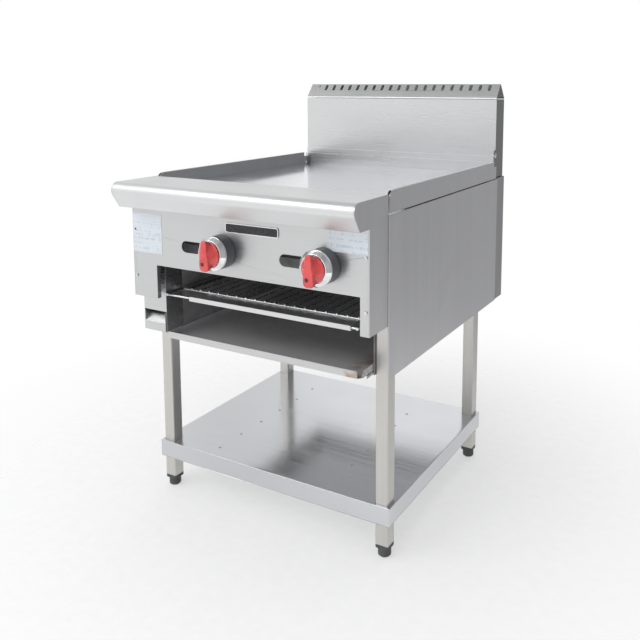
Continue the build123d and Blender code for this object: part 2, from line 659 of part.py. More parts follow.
# ---- crumb tray and grease drawer ---------------------------------------------------------------
TRAY_X0, TRAY_X1 = -228.5, 270.5
TRAY_Y0, TRAY_Y1 = RACK_FRONT_Y, PLATE_Y1 - 7
TRAY_LIP = 15.0


def crumb_tray():
    """Shallow tray under the rack, its right front corner trimmed."""
    z1 = TRAY_Z + TRAY_LIP
    tray = block(TRAY_X0, TRAY_X1, TRAY_Y0, TRAY_Y1, TRAY_Z, z1)
    tray -= block(
        TRAY_X0 + SHEET, TRAY_X1 - SHEET, TRAY_Y0 + SHEET, TRAY_Y1 - SHEET, TRAY_Z + SHEET, z1 + 1
    )
    trim = 10.0
    corner = [(TRAY_X1 - trim, TRAY_Y0 - 1), (TRAY_X1 + 1, TRAY_Y0 - 1), (TRAY_X1 + 1, TRAY_Y0 + trim)]
    return tray - prism("z", corner, TRAY_Z - 1, z1 + 1)


def crumb_tray_runners():
    """Angles on the inner walls under the tray; the right one reaches out past its leg."""
    top, web, reach = TRAY_Z - 0.3, 6.0, 18.0
    runners = []
    for wall, way, y0 in ((WALL_X0 + SHEET, 1, SIDE_Y0 - 2), (WALL_X1 - SHEET, -1, SIDE_Y0 - 30)):
        path = [(wall + way * reach, top), (wall, top), (wall, top - web)]
        runners.append(folded("y", path[::way], y0, TRAY_Y1, STOUT))
    return Compound(children=runners)


CASE_X0, CASE_X1 = -298.0, -230.0
CASE_Y0 = PANEL_Y + 22
CASE_Z0, CASE_GAP_Z = 413.0, 461.0
DRAWER_Y0, DRAWER_Y1 = CASE_Y0 - 1, -40.0


def grease_column_casing():
    """Three-sided column round the grease drawer, with the drawer's floor running back inside."""
    y1, top = SIDE_Y0 - 2.5, MOUTH_TOP_Z - 4
    walls = [
        block(CASE_X0, CASE_X1, CASE_Y0, CASE_Y0 + SHEET, CASE_GAP_Z, top),
        block(CASE_X0, CASE_X0 + SHEET, CASE_Y0, y1, CASE_Z0, top),
        block(CASE_X1 - SHEET, CASE_X1, CASE_Y0, y1, CASE_Z0, top),
        block(CASE_X0, CASE_X1, CASE_Y0, y1, CASE_Z0, CASE_Z0 + SHEET),
        block(-272.5, -233, y1, DRAWER_Y1, CASE_Z0, CASE_Z0 + SHEET),
    ]
    return joined(walls)


def grease_drawer():
    """Drawer with a scooped front, wide in the column and narrow where it passes the leg."""
    x0, x1, lane_x = -296.0, -233.5, -270.5
    z0, z1, step_y = CASE_Z0 + 1.5, CASE_Z0 + 40, SIDE_Y0 - 6
    t, lip_z, scoop = SHEET, CASE_Z0 + 20.5, 24.0

    def plan(inset):
        return [
            (x0 + inset, DRAWER_Y0 + inset), (x1 - inset, DRAWER_Y0 + inset),
            (x1 - inset, DRAWER_Y1 - inset), (lane_x + inset, DRAWER_Y1 - inset),
            (lane_x + inset, step_y - inset), (x0 + inset, step_y - inset),
        ]

    drawer = prism("z", plan(0), z0, z1) - prism("z", plan(t), z0 + t, z1 + 1)
    drawer -= block(x0 + t, x1 - t, DRAWER_Y0 - 1, DRAWER_Y0 + t + 1, lip_z, z1 + 1)
    face = folded("x", [(DRAWER_Y0 + scoop, CASE_GAP_Z - 2), (DRAWER_Y0, lip_z)], x0 + 0.5, x1 - 0.5)
    cheeks = []
    for x in (x0, x1 - t):
        corner = [(DRAWER_Y0, lip_z), (DRAWER_Y0, CASE_GAP_Z - 2), (DRAWER_Y0 + scoop, CASE_GAP_Z - 2)]
        cheeks.append(prism("x", [*corner, (DRAWER_Y0 + scoop, lip_z)], x, x + t))
    return joined([drawer, face, *cheeks])


# ---- write every piece --------------------------------------------------------------------------
def pieces():
    made = {
        "undershelf": undershelf(),
        "shelf_stiffeners": shelf_stiffeners(),
        "right_side_panel": side_panel(),
        "left_side_panel": mirrored(side_panel()),
        "left_inner_wall": inner_wall(WALL_X0, 1),
        "right_inner_wall": inner_wall(WALL_X1, -1),
        "inner_back_panel": inner_back_panel(),
        "rear_flue_casing": rear_flue_casing(),
        "flue_riser": flue_riser(),
        "flue_cap": flue_cap(),
        "griddle_plate": griddle_plate(),
        "right_splash_guard": splash_guard(),
        "left_splash_guard": mirrored(splash_guard()),
        "grease_trough": grease_trough(),
        "grease_chute": grease_chute(),
        "plate_rails": plate_rails(),
        "bullnose_ledge": bullnose_ledge(),
        "right_end_cheek": end_cheek(),
        "left_end_cheek": mirrored(end_cheek()),
        "control_panel": control_panel(),
        "casing_screws": casing_screws(),
        "nameplate": nameplate(),
        "rating_labels": rating_labels(),
        "gas_manifold": gas_manifold(),
        "gas_supply_pipe": gas_supply_pipe(),
        "gas_inlet_coupling": gas_inlet_coupling(),
        "burner_feed_tubes": burner_feed_tubes(),
        "pilot_tubes": pilot_tubes(),
        "burner_rest": burner_rest(),
        "front_heat_shield": front_heat_shield(),
        "radiant_baffles": radiant_baffles(),
        "rack_frame": rack_frame(),
        "rack_wires": rack_wires(),
        "rack_grip_plate": rack_grip_plate(),
        "rack_runners": rack_runners(),
        "crumb_tray": crumb_tray(),
        "crumb_tray_runners": crumb_tray_runners(),
        "grease_column_casing": grease_column_casing(),
        "grease_drawer": grease_drawer(),
    }
    for name, x, y in leg_corners():
        made[f"{name}_leg"] = leg(x, y)
        made[f"{name}_foot"] = foot(x, y)
    for side, knob_x, burner_x in zip(("left", "right"), KNOB_X, BURNER_X):
        made[f"{side}_knob_base"] = knob_base(knob_x)
        made[f"{side}_knob_ring"] = knob_ring(knob_x)
        made[f"{side}_knob_grip"] = knob_grip(knob_x)
        made[f"{side}_valve_stem"] = valve_stem(knob_x)
        made[f"{side}_gas_valve"] = gas_valve(knob_x)
        made[f"{side}_burner"] = burner(burner_x)
    return made


os.makedirs("parts", exist_ok=True)
for name, shape in pieces().items():
    export_step(shape, f"parts/{name}.step")
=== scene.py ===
import math

import bmesh
import bpy
from mathutils import Matrix, Vector


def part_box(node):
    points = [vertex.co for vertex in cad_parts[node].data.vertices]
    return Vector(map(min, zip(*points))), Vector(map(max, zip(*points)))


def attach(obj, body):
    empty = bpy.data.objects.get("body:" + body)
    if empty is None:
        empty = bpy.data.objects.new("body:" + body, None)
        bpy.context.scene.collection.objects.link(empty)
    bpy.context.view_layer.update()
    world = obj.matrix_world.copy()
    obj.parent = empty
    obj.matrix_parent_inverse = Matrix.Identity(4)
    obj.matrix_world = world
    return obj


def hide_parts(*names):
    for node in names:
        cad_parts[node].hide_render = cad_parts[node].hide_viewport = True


# Looks of a gas griddle with a toaster slot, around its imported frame. Metres, +Z up, front towards -Y.

MM = 0.001


# ---- mesh helpers -------------------------------------------------------------------------------
def add_mesh(name, mesh, material):
    """A new object from a bmesh, which is freed, with one material."""
    data = bpy.data.meshes.new(name)
    mesh.to_mesh(data)
    mesh.free()
    data.materials.append(material)
    for face in data.polygons:
        face.use_smooth = True
    piece = bpy.data.objects.new(name, data)
    bpy.context.scene.collection.objects.link(piece)
    return piece


def loft(rings):
    """Closed bmesh through rings of equally many points, with a face over each end."""
    mesh = bmesh.new()
    loops = [[mesh.verts.new(point) for point in ring] for ring in rings]
    for lower, upper in zip(loops, loops[1:]):
        for i in range(len(lower)):
            j = (i + 1) % len(lower)
            mesh.faces.new((lower[i], lower[j], upper[j], upper[i]))
    mesh.faces.new(reversed(loops[0]))
    mesh.faces.new(loops[-1])
    bmesh.ops.recalc_face_normals(mesh, faces=mesh.faces)
    return mesh


def merged(meshes):
    """One bmesh out of several, which are freed."""
    whole = bmesh.new()
    for mesh in meshes:
        data = bpy.data.meshes.new("part")
        mesh.to_mesh(data)
        mesh.free()
        whole.from_mesh(data)
        bpy.data.meshes.remove(data)
    return whole


def turned(centre, axes, profile, steps=32):
    """Closed bmesh of a profile of (radius, height) in mm, turned round the third of three axes."""
    across, up, along = axes
    rings = []
    for radius, height in profile:
        ring = []
        for i in range(steps):
            angle = 2 * math.pi * i / steps
            spoke = across * math.cos(angle) + up * math.sin(angle)
            ring.append(centre + spoke * radius * MM + along * height * MM)
        rings.append(ring)
    return loft(rings)


# ---- materials ----------------------------------------------------------------------------------
class Nodes:
    """A node tree with short ways to add and link its nodes."""

    def __init__(self, tree):
        self.tree = tree

    def node(self, kind, inputs, **settings):
        """A new node with settings, its inputs linked or set."""
        made = self.tree.nodes.new(kind)
        for label, value in settings.items():
            setattr(made, label, value)
        for label, value in inputs.items():
            if isinstance(value, bpy.types.NodeSocket):
                self.tree.links.new(value, made.inputs[label])
            else:
                made.inputs[label].default_value = value
        return made

    def math(self, operation, a, b):
        return self.node("ShaderNodeMath", {0: a, 1: b}, operation=operation).outputs[0]

    def times(self, a, b):
        return self.math("MULTIPLY", a, b)

    def fit(self, value, low, high, start=0.3, end=0.7):
        """The value's stretch from start to end, mapped to low to high."""
        inputs = {"Value": value, "From Min": start, "From Max": end, "To Min": low, "To Max": high}
        return self.node("ShaderNodeMapRange", inputs, interpolation_type="SMOOTHSTEP").outputs[0]


class Finish(Nodes):
    """A Principled material whose colour, roughness and relief come from procedural patterns."""

    def __init__(self, name, **sockets):
        self.material = bpy.data.materials.new(name)
        self.material.use_nodes = True
        super().__init__(self.material.node_tree)
        self.shader = self.tree.nodes["Principled BSDF"]
        self.place = self.tree.nodes.new("ShaderNodeTexCoord").outputs["Object"]
        for label, value in sockets.items():
            self.shader.inputs[label.replace("_", " ")].default_value = value

    def noise(self, stretch, detail=3.0, distortion=0.0):
        """Noise from 0 to 1, with its frequency along each axis in 1/m."""
        scaled = self.node("ShaderNodeMapping", {"Vector": self.place, "Scale": stretch})
        inputs = {"Vector": scaled.outputs[0], "Scale": 1.0, "Detail": detail, "Distortion": distortion}
        return self.node("ShaderNodeTexNoise", inputs).outputs["Fac"]

    def along(self, axis, start, end):
        """0 to 1 while the coordinate along an axis goes from start to end."""
        parts = self.node("ShaderNodeSeparateXYZ", {"Vector": self.place})
        return self.fit(parts.outputs[axis], 0.0, 1.0, start, end)

    def colours(self, value, stops):
        """The value turned into a colour by stops of (position, rgb)."""
        ramp = self.node("ShaderNodeValToRGB", {"Fac": value})
        elements = ramp.color_ramp.elements
        while len(elements) < len(stops):
            elements.new(0.5)
        for element, (position, rgb) in zip(elements, stops):
            element.position = position
            element.color = (*rgb, 1.0)
        return ramp.outputs["Color"]

    def mixed(self, share, first, second):
        """Two colours, sockets or rgb, mixed by a share."""
        made = self.tree.nodes.new("ShaderNodeMix")
        made.data_type = "RGBA"
        self.tree.links.new(share, made.inputs["Factor"])
        for slot, colour in ((6, first), (7, second)):
            if isinstance(colour, bpy.types.NodeSocket):
                self.tree.links.new(colour, made.inputs[slot])
            else:
                made.inputs[slot].default_value = (*colour, 1.0)
        return made.outputs[2]

    def bump(self, height, strength, distance):
        """Relief of a pattern, as a normal, with the distance in metres."""
        inputs = {"Height": height, "Strength": strength, "Distance": distance}
        return self.node("ShaderNodeBump", inputs).outputs["Normal"]

    def wear(self, colour=None, roughness=None, normal=None):
        """Links what varies over the surface to the shader."""
        for label, socket in (("Base Color", colour), ("Roughness", roughness), ("Normal", normal)):
            if socket is not None:
                self.tree.links.new(socket, self.shader.inputs[label])
        return self.material


def shade(rgb, factor):
    return tuple(min(1.0, channel * factor) for channel in rgb)


GRAIN_ALONG, GRAIN_ACROSS = 2.5, 420.0  # fine brushing lines with and across the grain, 1/m
BAND_ALONG, BAND_ACROSS = 2.0, 38.0  # broad bands of brushing, 1/m
# The second share darkens the flue's side face as painted shade; the first is for real handling smudges.
SMUDGE_SHADE, PAINTED_SHADE_SHARE = 0.88, 0.32  # share of the bare metal's brightness


def brushed(name, rgb, rough=0.30, grain="X", contrast=0.03, relief=0.05, smudges=0.05, painted_shade_from_x=None):
    """Brushed stainless sheet, its fine lines along one axis, with faint handling smudges.

    Beyond the X given last, the end face is painted darker. This is painted shade on the flue's side face,
    which looks away from the light.
    """
    finish = Finish(name, Metallic=1.0)
    stretch = [GRAIN_ALONG if axis == grain else GRAIN_ACROSS for axis in "XYZ"]
    lines = finish.noise(stretch, detail=4.0)
    broad = finish.noise([BAND_ALONG if axis == grain else BAND_ACROSS for axis in "XYZ"], detail=2.0)
    cloud = finish.noise((5.0, 5.0, 5.0), detail=4.0, distortion=0.6)
    tone = finish.times(finish.fit(lines, 0.75, 1.25), finish.fit(broad, 0.9, 1.1))
    colour = finish.colours(
        finish.fit(tone, 0.0, 1.0, 0.7, 1.35),
        [(0.0, shade(rgb, 1 - contrast)), (0.5, rgb), (1.0, shade(rgb, 1 + contrast))],
    )
    smudged = finish.fit(cloud, 0.0, smudges * 4, 0.45, 0.8)
    colour = finish.mixed(smudged, colour, shade(rgb, SMUDGE_SHADE))
    if painted_shade_from_x is not None:
        # Painted shade on the end face beyond that X.
        painted_shade_mask = finish.along("X", painted_shade_from_x, painted_shade_from_x + 0.3 * MM)
        colour = finish.mixed(painted_shade_mask, colour, shade(rgb, PAINTED_SHADE_SHARE))
    grainy = finish.fit(lines, rough - 0.05, rough + 0.07)
    roughness = finish.times(grainy, finish.fit(cloud, 0.92, 1.15))
    return finish.wear(colour, roughness, finish.bump(lines, relief, 0.4 * MM))


def griddle_polish():
    """Ground and polished plate: nearly a mirror, with faint swirls from the grinding stone."""
    finish = Finish("griddle_polish", Metallic=1.0)
    rgb = (0.70, 0.72, 0.76)
    swirls = finish.noise((60.0, 14.0, 60.0), detail=5.0, distortion=2.5)
    cloud = finish.noise((4.0, 3.0, 4.0), detail=4.0, distortion=0.8)
    colour = finish.colours(cloud, [(0.3, shade(rgb, 0.93)), (0.5, rgb), (0.75, shade(rgb, 1.05))])
    roughness = finish.times(finish.fit(cloud, 0.10, 0.17), finish.fit(swirls, 0.85, 1.25))
    return finish.wear(colour, roughness, finish.bump(swirls, 0.04, 0.6 * MM))


def heat_dark(name, rgb, tint):
    """Sheet inside the toaster, dark and blotchy, with blue and straw heat tints."""
    finish = Finish(name, Metallic=0.25)
    blotches = finish.noise((9.0, 7.0, 9.0), detail=6.0, distortion=1.2)
    streaks = finish.noise((70.0, 6.0, 18.0), detail=4.0)
    tones = [(0.25, shade(rgb, 0.55)), (0.5, rgb), (0.62, tint), (0.8, shade(rgb, 1.5))]
    colour = finish.colours(blotches, tones)
    roughness = finish.fit(finish.times(blotches, streaks), 0.34, 0.6, 0.1, 0.45)
    return finish.wear(colour, roughness, finish.bump(streaks, 0.12, 0.5 * MM))


def tray_metal():
    """Tray sheet: brushed at its front, dull inside, with old crumbs and a burnt right side."""
    finish = Finish("tray_metal", Metallic=0.30)
    low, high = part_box("crumb_tray")
    lines = finish.noise((3.0, 300.0, 300.0), detail=4.0)
    stains = finish.noise((16.0, 22.0, 16.0), detail=6.0, distortion=1.0)
    specks = finish.noise((260.0, 260.0, 260.0), detail=2.0)
    sheet = finish.colours(lines, [(0.2, (0.46, 0.46, 0.46)), (0.8, (0.56, 0.56, 0.57))])
    greys = [(0.25, (0.56, 0.57, 0.58)), (0.5, (0.62, 0.62, 0.63)), (0.8, (0.58, 0.57, 0.56))]
    dull = finish.colours(stains, greys)
    inside = finish.along("Y", low.y + 2 * MM, low.y + 6 * MM)
    rightmost = finish.along("X", high.x - 70 * MM, high.x - 8 * MM)
    corner = finish.times(rightmost, finish.fit(stains, 0.0, 1.0, 0.45, 0.6))
    colour = finish.mixed(inside, sheet, dull)
    burnt, crumb = (0.30, 0.17, 0.08), (0.10, 0.07, 0.05)
    colour = finish.mixed(corner, colour, burnt)
    colour = finish.mixed(finish.fit(specks, 0.0, 0.3, 0.70, 0.78), colour, crumb)
    return finish.wear(colour, finish.fit(stains, 0.36, 0.46), finish.bump(lines, 0.04, 0.4 * MM))


def wire_chrome():
    """Bright plated wire with the slight waviness of drawn rod."""
    finish = Finish("wire_chrome", Metallic=1.0)
    drawn = finish.noise((180.0, 180.0, 180.0), detail=3.0)
    colour = finish.colours(drawn, [(0.3, (0.62, 0.62, 0.63)), (0.7, (0.80, 0.80, 0.81))])
    return finish.wear(colour, finish.fit(drawn, 0.16, 0.30), finish.bump(drawn, 0.15, 0.3 * MM))


def ring_chrome():
    """Mirror-plated knob ring with a few fine turning marks."""
    finish = Finish("ring_chrome", Metallic=1.0)
    turning = finish.noise((30.0, 900.0, 30.0), detail=2.0)
    colour = finish.colours(turning, [(0.3, (0.74, 0.75, 0.77)), (0.7, (0.90, 0.90, 0.91))])
    return finish.wear(colour, finish.fit(turning, 0.05, 0.12), finish.bump(turning, 0.05, 0.2 * MM))


def knob_red():
    """Glossy red moulding, slightly mottled, with a clear skin."""
    finish = Finish("knob_red", Coat_Weight=0.9, Coat_Roughness=0.05, IOR=1.5)
    mottle = finish.noise((55.0, 55.0, 55.0), detail=4.0)
    pores = finish.noise((900.0, 900.0, 900.0), detail=2.0)
    colour = finish.colours(mottle, [(0.3, (0.50, 0.036, 0.036)), (0.7, (0.62, 0.056, 0.054))])
    return finish.wear(colour, finish.fit(mottle, 0.22, 0.34), finish.bump(pores, 0.05, 0.2 * MM))


def moulded(name, rgb, rough, grain_size=1400.0):
    """Plastic with a fine moulded grain and a trace of dust."""
    finish = Finish(name, IOR=1.47)
    grain = finish.noise((grain_size,) * 3, detail=2.0)
    dust = finish.noise((22.0, 22.0, 22.0), detail=5.0, distortion=0.4)
    lighter = tuple(channel * 1.3 + 0.015 for channel in rgb)
    colour = finish.colours(dust, [(0.35, rgb), (0.75, lighter)])
    return finish.wear(colour, finish.fit(dust, rough, rough + 0.14), finish.bump(grain, 0.2, 0.2 * MM))


def label_film():
    """Adhesive film, creased and pale, with rows of faint marks that aren't letters."""
    finish = Finish("label_film", IOR=1.46)
    film, mark = (0.56, 0.60, 0.64), (0.36, 0.39, 0.43)
    rows = finish.noise((9.0, 9.0, 330.0), detail=0.0)
    gaps = finish.noise((150.0, 150.0, 60.0), detail=2.0)
    marks = finish.times(finish.fit(rows, 0.0, 1.0, 0.5, 0.62), finish.fit(gaps, 0.0, 0.55, 0.42, 0.58))
    crease = finish.noise((40.0, 40.0, 40.0), detail=5.0, distortion=1.0)
    colour = finish.mixed(marks, film, mark)
    return finish.wear(colour, finish.fit(crease, 0.32, 0.5), finish.bump(crease, 0.12, 0.8 * MM))


def nameplate_finish():
    """Black enamel field, sunk in a bright rim."""
    finish = Finish("nameplate_finish")
    rim_y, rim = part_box("nameplate")[0].y, (0.86, 0.86, 0.88)
    field = finish.along("Y", rim_y + 0.3 * MM, rim_y + 0.6 * MM)
    scuffs = finish.noise((120.0, 120.0, 600.0), detail=4.0)
    black = finish.colours(scuffs, [(0.4, (0.014, 0.015, 0.018)), (0.8, (0.035, 0.036, 0.040))])
    bare = finish.math("SUBTRACT", 1.0, field)
    finish.tree.links.new(bare, finish.shader.inputs["Metallic"])
    return finish.wear(finish.mixed(field, rim, black), finish.fit(scuffs, 0.16, 0.30))


def cast_metal(name, rgb, rough, metallic=1.0):
    """Machined or drawn fitting with faint tool marks and dull patches."""
    finish = Finish(name, Metallic=metallic)
    marks = finish.noise((140.0, 420.0, 140.0), detail=4.0)
    patches = finish.noise((25.0, 25.0, 25.0), detail=5.0, distortion=0.8)
    colour = finish.colours(patches, [(0.3, shade(rgb, 0.72)), (0.55, rgb), (0.8, shade(rgb, 1.15))])
    return finish.wear(colour, finish.fit(patches, rough, rough + 0.2), finish.bump(marks, 0.2, 0.3 * MM))


def weld_tint():
    """Small heat-marked spots left by the welds under the shelf."""
    finish = Finish("weld_tint", Metallic=1.0)
    mottle = finish.noise((420.0, 420.0, 420.0), detail=3.0)
    colour = finish.colours(mottle, [(0.3, (0.30, 0.29, 0.30)), (0.7, (0.48, 0.45, 0.42))])
    return finish.wear(colour, finish.fit(mottle, 0.35, 0.55), finish.bump(mottle, 0.2, 0.4 * MM))


# ---- CAD nodes: materials and softened edges ----------------------------------------------------
SIDES = ("left", "right")
STEEL = (0.66, 0.665, 0.67)
# Darker copy of STEEL for the sideways faces (side panels, cheeks, splash guards): painted shade.
SHADED_SIDE_STEEL = (0.60, 0.60, 0.605)
LEG_STEEL = (0.62, 0.61, 0.58)


def finishes():
    """Every CAD node's name with its material."""
    # Beyond this X the riser's right face is painted darker: painted shade.
    flue_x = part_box("flue_riser")[1].x - 4 * MM  # just inside the riser's right face
    # Copies of one steel: the front is darker (painted shade) and the ledge's top lighter (painted light).
    front = brushed("front_steel_painted_shade", shade(STEEL, 0.93), rough=0.34, contrast=0.015, relief=0.02)
    top = brushed("ledge_steel_painted_light", shade(STEEL, 1.08), rough=0.40, contrast=0.010, relief=0.012)
    riser = brushed("riser_steel", STEEL, rough=0.30, contrast=0.012, relief=0.015, painted_shade_from_x=flue_x)
    # The flue casing gets the side steel darkened further: painted shade on its side, which looks away from
    # the light.
    flue_side = brushed("flue_side_painted_shade_steel", shade(SHADED_SIDE_STEEL, 0.62), rough=0.34, grain="Z")
    side = brushed("side_steel", SHADED_SIDE_STEEL, rough=0.36, grain="Z", smudges=0.1)
    shelf = brushed("shelf_steel", (0.62, 0.63, 0.65), rough=0.17, contrast=0.008, relief=0.004)
    leg = brushed("leg_steel", LEG_STEEL, rough=0.36, grain="Z", contrast=0.05)
    grease = brushed("grease_steel", shade(STEEL, 0.95), rough=0.28, grain="X")
    dark = heat_dark("chamber_steel", (0.34, 0.335, 0.34), (0.30, 0.30, 0.34))
    burnt = heat_dark("burner_steel", (0.30, 0.28, 0.26), (0.20, 0.22, 0.34))
    wire = wire_chrome()
    # Black moulding for the knob bases: partly their real dark colour, partly painted shade.
    black = moulded("black_plastic", (0.075, 0.078, 0.085), 0.34)
    rubber = moulded("foot_plastic", (0.045, 0.047, 0.052), 0.42, grain_size=900.0)
    brass = cast_metal("brass_fitting", (0.62, 0.43, 0.19), 0.28)
    pipe = cast_metal("black_pipe", (0.06, 0.06, 0.062), 0.42, metallic=0.5)
    tube = cast_metal("aluminium_tube", (0.66, 0.66, 0.67), 0.30)
    bright = cast_metal("screw_steel", (0.74, 0.74, 0.74), 0.18)
    ring = ring_chrome()
    red = knob_red()
    by_node = {
        "undershelf": shelf, "shelf_stiffeners": shelf,
        "right_side_panel": side, "left_side_panel": side,
        "rear_flue_casing": flue_side, "flue_riser": riser, "flue_cap": riser,
        "left_inner_wall": dark, "right_inner_wall": dark, "inner_back_panel": dark,
        "front_heat_shield": dark, "radiant_baffles": burnt, "burner_rest": burnt,
        "griddle_plate": griddle_polish(),
        "right_splash_guard": side, "left_splash_guard": side,
        "grease_trough": top, "grease_chute": grease, "plate_rails": leg,
        "bullnose_ledge": top, "right_end_cheek": side, "left_end_cheek": side,
        "control_panel": front, "casing_screws": bright,
        "nameplate": nameplate_finish(), "rating_labels": label_film(),
        "gas_manifold": pipe, "gas_supply_pipe": pipe, "gas_inlet_coupling": brass,
        "burner_feed_tubes": tube, "pilot_tubes": tube,
        "rack_frame": wire, "rack_wires": wire, "rack_grip_plate": top, "rack_runners": burnt,
        "crumb_tray": tray_metal(), "crumb_tray_runners": grease,
        "grease_column_casing": grease, "grease_drawer": grease,
    }
    for side_name in SIDES:
        # The dark ring round each knob is partly the base and partly its shadow on the panel; the base's
        # black stands for both, so it is partly painted shade.
        by_node[f"{side_name}_knob_base"] = black
        by_node[f"{side_name}_knob_ring"] = ring
        by_node[f"{side_name}_knob_grip"] = red
        by_node[f"{side_name}_valve_stem"] = brass
        by_node[f"{side_name}_gas_valve"] = brass
        by_node[f"{side_name}_burner"] = burnt
        for end in ("front", "rear"):
            by_node[f"{end}_{side_name}_leg"] = leg
            by_node[f"{end}_{side_name}_foot"] = rubber
    return by_node


ROUND_NODES = ("rack_wires", "rack_frame", "burner_feed_tubes", "pilot_tubes", "rating_labels")
EDGE_WIDTHS = {  # mm
    "griddle_plate": 1.2, "undershelf": 1.1, "bullnose_ledge": 0.6, "nameplate": 0.3,
    "right_end_cheek": 0.9, "left_end_cheek": 0.9, "right_splash_guard": 0.8, "left_splash_guard": 0.8,
}
EDGE_WIDTH = 0.5  # mm, softened edge of ordinary sheet
EDGE_ANGLE = math.radians(40)
WELD_GAP = 0.01 * MM  # vertices closer than this are one


def dress(node, piece, material):
    """Gives a CAD node its material and softens its sharp edges."""
    piece.data.materials.clear()
    piece.data.materials.append(material)
    if node in ROUND_NODES:
        return
    weld = piece.modifiers.new("weld", "WELD")
    weld.merge_threshold = WELD_GAP
    bevel = piece.modifiers.new("bevel", "BEVEL")
    bevel.width = EDGE_WIDTHS.get(node, EDGE_WIDTH) * MM
    bevel.segments = 2
    bevel.limit_method = "ANGLE"
    bevel.angle_limit = EDGE_ANGLE
    bevel.use_clamp_overlap = True
    piece.modifiers.new("normals", "WEIGHTED_NORMAL")


# ---- pieces that replace or add to CAD nodes ----------------------------------------------------
BAR_TOP_HALF, BAR_FOOT_HALF = 8.0 * MM, 13.0 * MM  # half widths of the grip's bar
BAR_SHARPNESS = 6.0  # how square its corners are
GRIP_STEPS = 96


def grip_outline(angle, disc, bar_reach, bar_share):
    """Distance from the knob's axis at an angle from its top, between a disc and a longer bar."""
    mean, sway = (BAR_TOP_HALF + BAR_FOOT_HALF) / 2, (BAR_FOOT_HALF - BAR_TOP_HALF) / 2
    across = max(abs(math.sin(angle)), 0.02)
    side_reach = (mean - sway * math.cos(angle)) / across
    bar = (bar_reach ** -BAR_SHARPNESS + side_reach ** -BAR_SHARPNESS) ** (-1 / BAR_SHARPNESS)
    return disc + (bar - disc) * bar_share


GRIP_LEVELS = [  # share of the depth, share of the bar shape, share of the full reach
    (0.0, 0.0, 0.97), (0.03, 0.0, 0.99), (0.10, 0.0, 0.99), (0.13, 0.04, 0.99),
    (0.20, 0.30, 0.99), (0.45, 0.58, 0.985), (0.70, 0.82, 0.98), (0.88, 0.98, 0.965),
    (0.95, 1.0, 0.935), (0.985, 1.0, 0.86), (1.0, 1.0, 0.76), (1.0, 1.0, 0.35),
]


def knob_grip(side, material):
    """Moulded grip: a disc that flows over sloped flanks into a bar, narrower at its top."""
    low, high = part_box(f"{side}_knob_grip")
    centre, disc, bar_reach = (low + high) / 2, (high.x - low.x) / 2, (high.z - low.z) / 2
    rings = []
    for share, bar_share, reach_share in GRIP_LEVELS:
        y = high.y - (high.y - low.y) * share
        ring = []
        for i in range(GRIP_STEPS):
            angle = 2 * math.pi * i / GRIP_STEPS
            reach = grip_outline(angle, disc, bar_reach, bar_share) * reach_share
            ring.append((centre.x + math.sin(angle) * reach, y, centre.z + math.cos(angle) * reach))
        rings.append(ring)
    grip = add_mesh(f"{side}_moulded_grip", loft(rings), material)
    smooth = grip.modifiers.new("smooth", "SUBSURF")
    smooth.levels = smooth.render_levels = 1
    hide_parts(f"{side}_knob_grip")
    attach(grip, f"{side}_knob")


AXES_FRONT = (Vector((1, 0, 0)), Vector((0, 0, 1)), Vector((0, -1, 0)))
AXES_UP = (Vector((1, 0, 0)), Vector((0, 1, 0)), Vector((0, 0, 1)))
MARK_SHIFT, MARK_RISE = 3 * MM, 17 * MM  # mark's place left of the knob's axis and over the grip's foot
MARK_PROFILE = ((4.2, -0.6), (4.2, 0.15), (3.4, 0.35), (1.6, 0.1))  # radius and height, mm
SPOT_PROFILE = ((3.4, -0.2), (3.2, 0.12), (1.6, 0.3), (0.5, 0.1))  # radius and height, mm
SPOT_SWAY = 3 * MM


def knob_mark(side, material):
    """Small dark round inlay near the foot of the grip bar."""
    low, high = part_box(f"{side}_knob_grip")
    centre = Vector(((low.x + high.x) / 2 - MARK_SHIFT, low.y, low.z + MARK_RISE))
    mark = add_mesh(f"{side}_knob_mark", turned(centre, AXES_FRONT, MARK_PROFILE), material)
    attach(mark, f"{side}_knob")


def shelf_weld_marks(material):
    """Two rows of shallow weld spots on the shelf, over the stiffeners below it."""
    low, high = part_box("shelf_stiffeners")
    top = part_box("undershelf")[1].z
    half = 20 * MM  # half width of a stiffener
    rows = (
        (low.x + half, 6, low.y + 22 * MM, high.y + 2 * MM),
        (high.x - half, 5, low.y + 104 * MM, high.y - 18 * MM),
    )
    spots = []
    for row_x, count, y0, y1 in rows:
        for i in range(count):
            sway = SPOT_SWAY * math.sin(7.0 * i + row_x * 90)
            centre = Vector((row_x + sway, y0 + (y1 - y0) * i / count, top))
            spots.append(turned(centre, AXES_UP, SPOT_PROFILE, steps=20))
    marks = add_mesh("shelf_weld_marks", merged(spots), material)
    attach(marks, "griddle_body")


# ---- stage, light and camera --------------------------------------------------------------------
FLOOR_RADIUS = 3.0
FLOOR_CLEAR = 0.5  # share of the white surround that shows through the floor under the object
FLOOR_FADE = (0.35, FLOOR_RADIUS * 0.45)  # distances over which the floor fades out
FLOOR_DROP = 0.5 * MM  # gap under the feet


